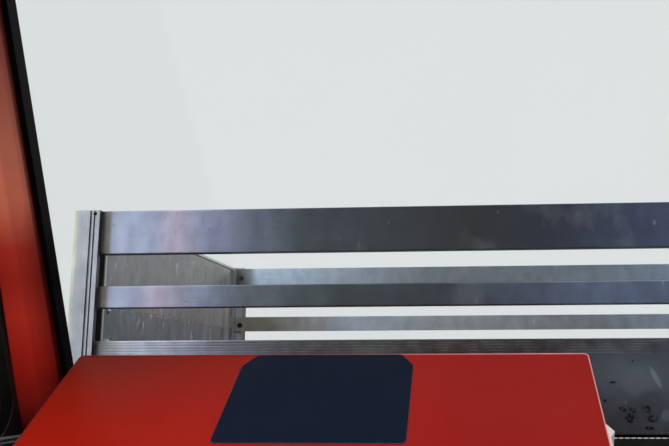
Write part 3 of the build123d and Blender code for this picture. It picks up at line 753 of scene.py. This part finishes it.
def tube(mesh_data, path, radius, closed=False, facets=8):
    """A round bar along a path of points, mitred at the bends."""
    rings = []
    count = len(path)
    angles = [2 * pi * step / facets for step in range(facets)]
    for index, point in enumerate(path):
        before = path[index - 1] if index > 0 or closed else point
        after = path[(index + 1) % count] if index < count - 1 or closed else point
        heading = (after - before).normalized()
        if rings:
            side = (side - heading * side.dot(heading)).normalized()
        else:
            side = heading.orthogonal().normalized()
        other = heading.cross(side)
        places = [point + radius * (side * cos(a) + other * sin(a)) for a in angles]
        rings.append([mesh_data.verts.new(place) for place in places])
    pairs = list(zip(rings, rings[1:]))
    if closed:
        pairs.append((rings[-1], rings[0]))
    for low, high in pairs:
        for step in range(facets):
            after = (step + 1) % facets
            mesh_data.faces.new((low[step], low[after], high[after], high[step]))
    if not closed:
        mesh_data.faces.new(rings[0])
        mesh_data.faces.new(rings[-1])


def strip(mesh_data, profile, start, end, first, second):
    """A bar with a drawn profile, from start to end; the profile's axes are first and second."""
    rings = [[mesh_data.verts.new(place + first * u + second * v) for u, v in profile]
             for place in (start, end)]
    count = len(profile)
    for step in range(count):
        after = (step + 1) % count
        mesh_data.faces.new((rings[0][step], rings[0][after], rings[1][after], rings[1][step]))
    mesh_data.faces.new(rings[0])
    mesh_data.faces.new(rings[1])


def arc(centre, radius, start, end, steps=6):
    """Points on an arc in a plane, by degrees."""
    angles = [radians(start + (end - start) * step / steps) for step in range(steps + 1)]
    return [(centre[0] + radius * cos(a), centre[1] + radius * sin(a)) for a in angles]


across = Vector((1, 0, 0))
along = Vector((0, 1, 0))
upward = Vector((0, 0, 1))
sides = (("left", -1), ("right", 1))

# Bolts through the far bars, black socket heads near each end
bar_bolt_x = 1.1155
bar_bolt_radius = 0.0062
bar_bolt_heights = {"upper": 1.6015, "lower": 1.4355}
bar_face_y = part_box("far_bar_upper")[0].y
for bar, height in bar_bolt_heights.items():
    places = [(x, bar_face_y, height) for x in (-bar_bolt_x, bar_bolt_x)]
    fasteners("far_bar_bolts_" + bar, places, -along, bar_bolt_radius, "car_end", "black_bolt")

# Screws in the corner posts, and the bolts that hold the gates' latches
post_screw_x = 1.1528
post_screw_heights = (0.58, 1.1, 1.632)
post_screw_radius = 0.0028
gate_recess = 0.004
latch_nut_y = 0.1505
latch_nut_heights = (1.415, 1.345)
latch_nut_radius = 0.0055
latch_bolt_steps = (0.02, 0.07)
latch_bolt_radius = 0.006
post_face_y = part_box("corner_post_left")[0].y
places = [(x, post_face_y, z) for x in (-post_screw_x, post_screw_x) for z in post_screw_heights]
fasteners("post_screws", places, -along, post_screw_radius, "car_end", "black_bolt")
for side, sign in sides:
    body = "gate_" + side
    gate_low, gate_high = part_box("side_gate_" + side)
    inner_face = gate_high.x if sign < 0 else gate_low.x
    places = [(inner_face + sign * gate_recess, latch_nut_y, z) for z in latch_nut_heights]
    fasteners("latch_nut_" + side, places, -sign * across, latch_nut_radius, body)
    latch_low, latch_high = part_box("gate_latch_" + side)
    outer_face = latch_low.x if sign < 0 else latch_high.x
    middle_z = (latch_low.z + latch_high.z) / 2
    places = [(outer_face, latch_low.y + step, middle_z) for step in latch_bolt_steps]
    fasteners("latch_bolts_" + side, places, sign * across, latch_bolt_radius, body)

# Desk: fine lines along the edges of the laminate and the plate, coloured as painted highlights on
# those edges
desk_slope = radians(33.7)
desk_up = Vector((0, cos(desk_slope), sin(desk_slope)))
desk_normal = Vector((0, -sin(desk_slope), cos(desk_slope)))
desk_low, desk_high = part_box("desk_top")
desk_thickness = 0.03
desk_far = Vector(((desk_low.x + desk_high.x) / 2, desk_high.y - desk_thickness * sin(desk_slope),
                   desk_high.z))


def on_desk(u, v, rise=0.0):
    """A place on the desk: across from its middle, down from its far edge, and above it."""
    return desk_far + across * u - desk_up * v + desk_normal * rise


def rounded_outline(half_width, near, far, corners):
    """A closed outline on the desk. The corners' radii go far right, far left, near left, near
    right."""
    points = []
    turns = ((half_width, far, 0), (-half_width, far, 90), (-half_width, near, 180),
             (half_width, near, 270))
    for (u, v, start), radius in zip(turns, corners):
        centre = (u - radius if u > 0 else u + radius, v + radius if v == far else v - radius)
        for a in range(0, 91, 15):
            angle = radians(start + a)
            points.append((centre[0] + radius * cos(angle), centre[1] - radius * sin(angle)))
    return points


def softened(points, reach, steps=4):
    """A closed outline whose corners are rounded, from reach before each corner to reach after it."""
    path = []
    flat = [Vector(point) for point in points]
    for index, corner in enumerate(flat):
        before = corner + (flat[index - 1] - corner).normalized() * reach
        after = corner + (flat[(index + 1) % len(flat)] - corner).normalized() * reach
        for step in range(steps + 1):
            t = step / steps
            path.append(tuple(before * (1 - t) ** 2 + corner * 2 * t * (1 - t) + after * t ** 2))
    return path


desk_half = (desk_high.x - desk_low.x) / 2
desk_depth = 0.5
desk_corners = (0.008, 0.008, 0.07, 0.07)
edge_inset = 0.0006
edge_radius = 0.0011
outline = rounded_outline(desk_half - edge_inset, desk_depth - edge_inset, edge_inset, desk_corners)
# The edge line's pale colour is a painted highlight on the laminate's edge
edge_line = bmesh.new()
tube(edge_line, [on_desk(u, v) for u, v in outline], edge_radius, closed=True)
piece("desk_edge_highlight_line", edge_line, "edge_highlight", "car_end")

sign_middle = 0.002
sign_half = 0.153
sign_far = 0.0025
sign_near = 0.2505
sign_cut_across = 0.022
sign_cut_down = 0.035
sign_rise = 0.0008
sign_corner = 0.008
sign_line_radius = 0.0007
cut_end = sign_far + sign_cut_down
sign_points = ((-sign_half, sign_near), (sign_half, sign_near), (sign_half, cut_end),
               (sign_half - sign_cut_across, sign_far), (sign_cut_across - sign_half, sign_far),
               (-sign_half, cut_end))
sign_path = [on_desk(sign_middle + u, v, sign_rise) for u, v in softened(sign_points, sign_corner)]
# The sign line's lighter blue is a painted highlight along the sign's edge
sign_line = bmesh.new()
tube(sign_line, sign_path, sign_line_radius, closed=True, facets=6)
piece("desk_sign_highlight_line", sign_line, "sign_edge_highlight", "car_end")

# Pale cord and black strip along the foot of the windscreen, on the cab side
rake = radians(26.35)
rake_up = Vector((0, -sin(rake), cos(rake)))
rake_in = Vector((0, -cos(rake), -sin(rake)))
screen_foot = Vector((0, -0.0967, 1.0573))
screen_half = 1.02
half_span = across * screen_half
cord_up = 0.1111
cord_in = 0.0055
cord_radius = 0.0011
strip_above_cord = 0.0012
strip_up = cord_up + strip_above_cord
strip_in = 0.0041
strip_profile = ((0, 0), (0.0058, 0), (0.0052, 0.0014), (0, 0.0014))
cord = bmesh.new()
cord_middle = screen_foot + rake_up * cord_up + rake_in * cord_in
tube(cord, [cord_middle - half_span, cord_middle + half_span], cord_radius, facets=10)
piece("windscreen_bead", cord, "bead", "car_end")
edge_strip = bmesh.new()
strip_middle = screen_foot + rake_up * strip_up + rake_in * strip_in
strip(edge_strip, strip_profile, strip_middle - half_span, strip_middle + half_span, rake_up, rake_in)
piece("windscreen_bead_strip", edge_strip, "seal", "car_end")

# Metal ledges under the side windows, and a rubber coving where the walls meet the floor
inner_wall = 1.1437
ledge_ends = (-1.10, -0.215)
ledge_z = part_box("side_window_seal_left")[0].z
ledge_profile = ((0, 0.007), (0.014, 0.007), (0.0155, 0.0055), (0.0155, 0.004), (0.013, 0.0025),
                 (0.013, -0.0005), (0.0155, -0.002), (0.0155, -0.0035), (0.014, -0.005),
                 (0.003, -0.005), (0.003, -0.022), (0, -0.022))
coving_ends = (-1.18, -0.128)
coving_z = 0.1703
coving_size = 0.05
coving_radius = 0.045
coving_profile = [(0, coving_size), (0, 0), (coving_size, 0)]
coving_profile += arc((coving_size, coving_size), coving_radius, 270, 180)


def along_wall(name, profile, sign, ends, height, look):
    """A strip along the inner side of a side wall."""
    made = bmesh.new()
    start, end = [Vector((sign * inner_wall, y, height)) for y in ends]
    strip(made, profile, start, end, -sign * across, upward)
    piece(name, made, look, "car_end")


for side, sign in sides:
    along_wall("window_ledge_" + side, ledge_profile, sign, ledge_ends, ledge_z, "ledge")
    along_wall("floor_coving_" + side, coving_profile, sign, coving_ends, coving_z, "seal")

# Lamps in the front skirt: a bowl reflector with a bulb behind each lens, and screws round the rim
bowl_profile = ((0.069, -0.007), (0.069, -0.012), (0.058, -0.030), (0.040, -0.044), (0.018, -0.052),
                (0.018, -0.050), (0.039, -0.042), (0.056, -0.028), (0.0665, -0.011),
                (0.0665, -0.007), (0.069, -0.007))
bulb_profile = ((0, -0.055), (0.009, -0.055), (0.009, -0.045), (0.012, -0.038), (0.013, -0.030),
                (0.010, -0.022), (0.005, -0.018), (0, -0.017))
rim_screw_ring = 0.0775
rim_screw_angles = (45, 135, 225, 315)
rim_screw_sunk = 0.0015
rim_screw_radius = 0.0032
rim_screw_height = 0.0014
for side, _ in sides:
    low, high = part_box("lamp_" + side)
    centre = Vector(((low.x + high.x) / 2, high.y, (low.z + high.z) / 2))
    matrix = towards(along, centre)
    bowl = bmesh.new()
    revolve(bowl, bowl_profile, matrix, 48)
    piece("lamp_bowl_" + side, bowl, "reflector", "car_end")
    bulb = bmesh.new()
    revolve(bulb, bulb_profile, matrix)
    piece("lamp_bulb_" + side, bulb, "lens", "car_end")
    screws = bmesh.new()
    for degrees in rim_screw_angles:
        angle = radians(degrees)
        place = centre + Vector((rim_screw_ring * cos(angle), 0, rim_screw_ring * sin(angle)))
        place -= along * rim_screw_sunk
        socket_head(screws, place, along, rim_screw_radius, rim_screw_height)
    piece("lamp_screws_" + side, screws, "black_bolt", "car_end")

# Bolts along the edges of the front skirt and the front bulkhead
skirt_bolt_places = (-1.1, -0.5, 0, 0.5, 1.1)
skirt_bolt_heights = (0.175, 0.485)
skirt_bolt_radius = 0.008
bulkhead_bolt_places = (-1.05, -0.75, -0.45, -0.15, 0.15, 0.45, 0.75, 1.05)
bulkhead_bolt_heights = (0.19, 0.98)
bulkhead_bolt_radius = 0.006
skirt_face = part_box("front_skirt")[1].y
places = [(x, skirt_face, z) for x in skirt_bolt_places for z in skirt_bolt_heights]
fasteners("front_skirt_bolts", places, along, skirt_bolt_radius, "car_end")
bulkhead_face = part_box("front_bulkhead")[1].y
places = [(x, bulkhead_face, z) for x in bulkhead_bolt_places for z in bulkhead_bolt_heights]
fasteners("bulkhead_bolts", places, along, bulkhead_bolt_radius, "car_end")

# Studio floor, background and lights

def shows_background(tree):
    """1 for the rays that show the pale background: camera, glossy and transmission rays."""
    ray = tree.nodes.new("ShaderNodeLightPath")
    value = ray.outputs["Is Camera Ray"]
    for kind in ("Is Glossy Ray", "Is Transmission Ray"):
        larger = tree.nodes.new("ShaderNodeMath")
        larger.operation = "MAXIMUM"
        tree.links.new(value, larger.inputs[0])
        tree.links.new(ray.outputs[kind], larger.inputs[1])
        value = larger.outputs[0]
    return value


floor_size = 30.0
floor_tone = (202, 203, 205)
fade_start = 2.2
fade_end = 6.0
backdrop = linear((231, 233, 235))
sky_tone = (0.86, 0.93, 1.0, 1)
sky_strength = 0.5
floor_mesh = bmesh.new()
bmesh.ops.create_grid(floor_mesh, x_segments=1, y_segments=1, size=floor_size)
floor_data = bpy.data.meshes.new("studio_floor")
floor_mesh.to_mesh(floor_data)
floor_mesh.free()
floor = bpy.data.objects.new("studio_floor", floor_data)
scene.collection.objects.link(floor)
ground = Look("studio_floor", 0.8)
colour = ground.shade(ground.plain(floor_tone), ground.noise(0.6), 0.98, 1.02)
floor_data.materials.append(ground.finish(colour))
away = ground.add("VectorMath", {0: ground.point}, operation="LENGTH").outputs["Value"]
far_off = ground.math("MULTIPLY", ground.span(away, fade_start, fade_end),
                      shows_background(ground.tree))
even = ground.add("Emission", {"Color": backdrop})
faded = ground.add("MixShader", {0: far_off, 1: ground.shader.outputs[0], 2: even.outputs[0]})
ground.surface(faded)

world = bpy.data.worlds.new("studio")
scene.world = world
world.use_nodes = True
tree = world.node_tree
background = tree.nodes["Background"]
background.inputs["Color"].default_value = sky_tone
background.inputs["Strength"].default_value = sky_strength
shown = tree.nodes.new("ShaderNodeBackground")
shown.inputs["Color"].default_value = backdrop
choose = tree.nodes.new("ShaderNodeMixShader")
tree.links.new(shows_background(tree), choose.inputs[0])
tree.links.new(background.outputs[0], choose.inputs[1])
tree.links.new(shown.outputs[0], choose.inputs[2])
tree.links.new(choose.outputs[0], tree.nodes["World Output"].inputs["Surface"])

studio_lamps = (
    # name, place, aimed at, size, power, colour
    ("key", (-4.5, -2.5, 5.5), (0, 0, 1.0), 3.0, 260, (1.0, 0.98, 0.95)),
    ("uphill", (1.5, 6.0, 4.5), (0, 0, 1.0), 3.0, 220, (0.95, 0.98, 1.0)),
    ("fill", (4.5, -1.5, 3.0), (0, 0, 1.0), 3.0, 120, (1.0, 1.0, 1.0)),
    ("side", (-2.9, -3.3, 2.0), (-0.5, 0, 1.3), 1.2, 32, (1.0, 0.98, 0.96)),
    ("cab", (-0.3, -3.4, 3.5), (-0.5, -0.4, 1.2), 1.0, 62, (1.0, 0.98, 0.96)),
)
for name, place, aim, size, power, colour in studio_lamps:
    lamp_data = bpy.data.lights.new(name, "AREA")
    lamp_data.size = size
    lamp_data.energy = power
    lamp_data.color = colour
    lamp = bpy.data.objects.new(name, lamp_data)
    scene.collection.objects.link(lamp)
    lamp.matrix_world = towards(Vector(place) - Vector(aim), Vector(place))

scene.view_settings.view_transform = "Standard"
